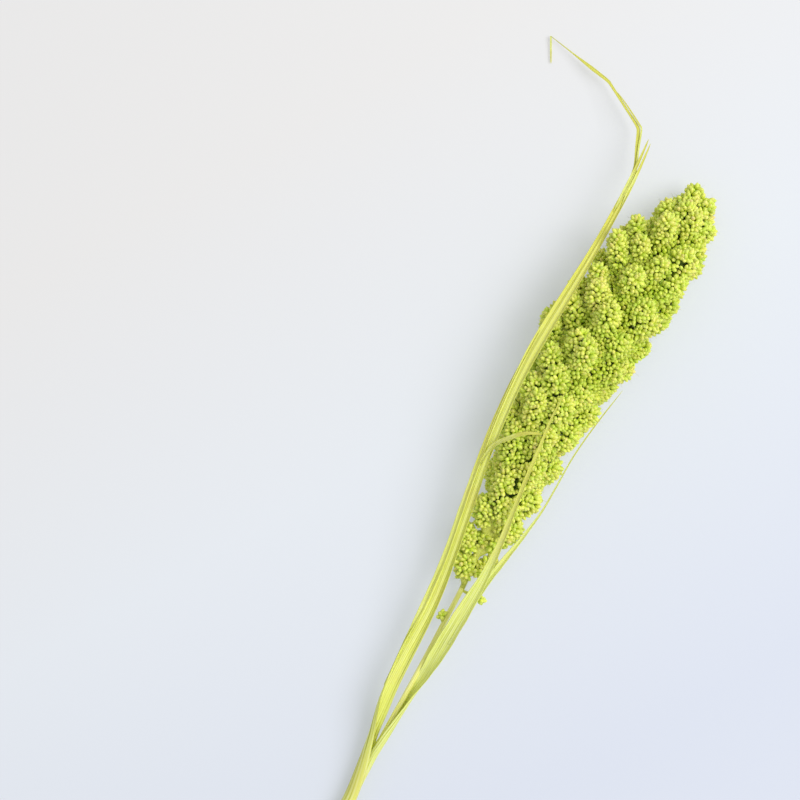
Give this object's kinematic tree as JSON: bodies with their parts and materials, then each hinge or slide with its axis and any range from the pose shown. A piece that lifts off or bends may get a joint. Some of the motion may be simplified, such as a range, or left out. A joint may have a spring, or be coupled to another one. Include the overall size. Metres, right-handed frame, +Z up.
{
  "type": "dried foxtail millet head",
  "caption": "Dried foxtail millet seed head, lobed and thickly covered with small round seeds, lying on a surface with its cut stalk and its narrow sheathing leaves.",
  "frame": {"origin": "middle of the bottom of the bounding box, on the surface that the head lies on", "axes": "+X from the cut end of the stalk to the tip of the head, +Z up from the surface, +Y to the left of the head"},
  "size_m": [0.473, 0.1156, 0.0381],
  "materials": {
    "seeds": "dyed dry millet seeds, satin",
    "stalk": "dyed dry grass stalk, matt",
    "leaf": "dyed dry grass leaf, matt with fine veins"
  },
  "bodies": {
    "root": {"head": "seeds", "stalk": "stalk", "flag_leaf": "leaf", "long_leaf": "leaf"}
  },
  "joints": []
}
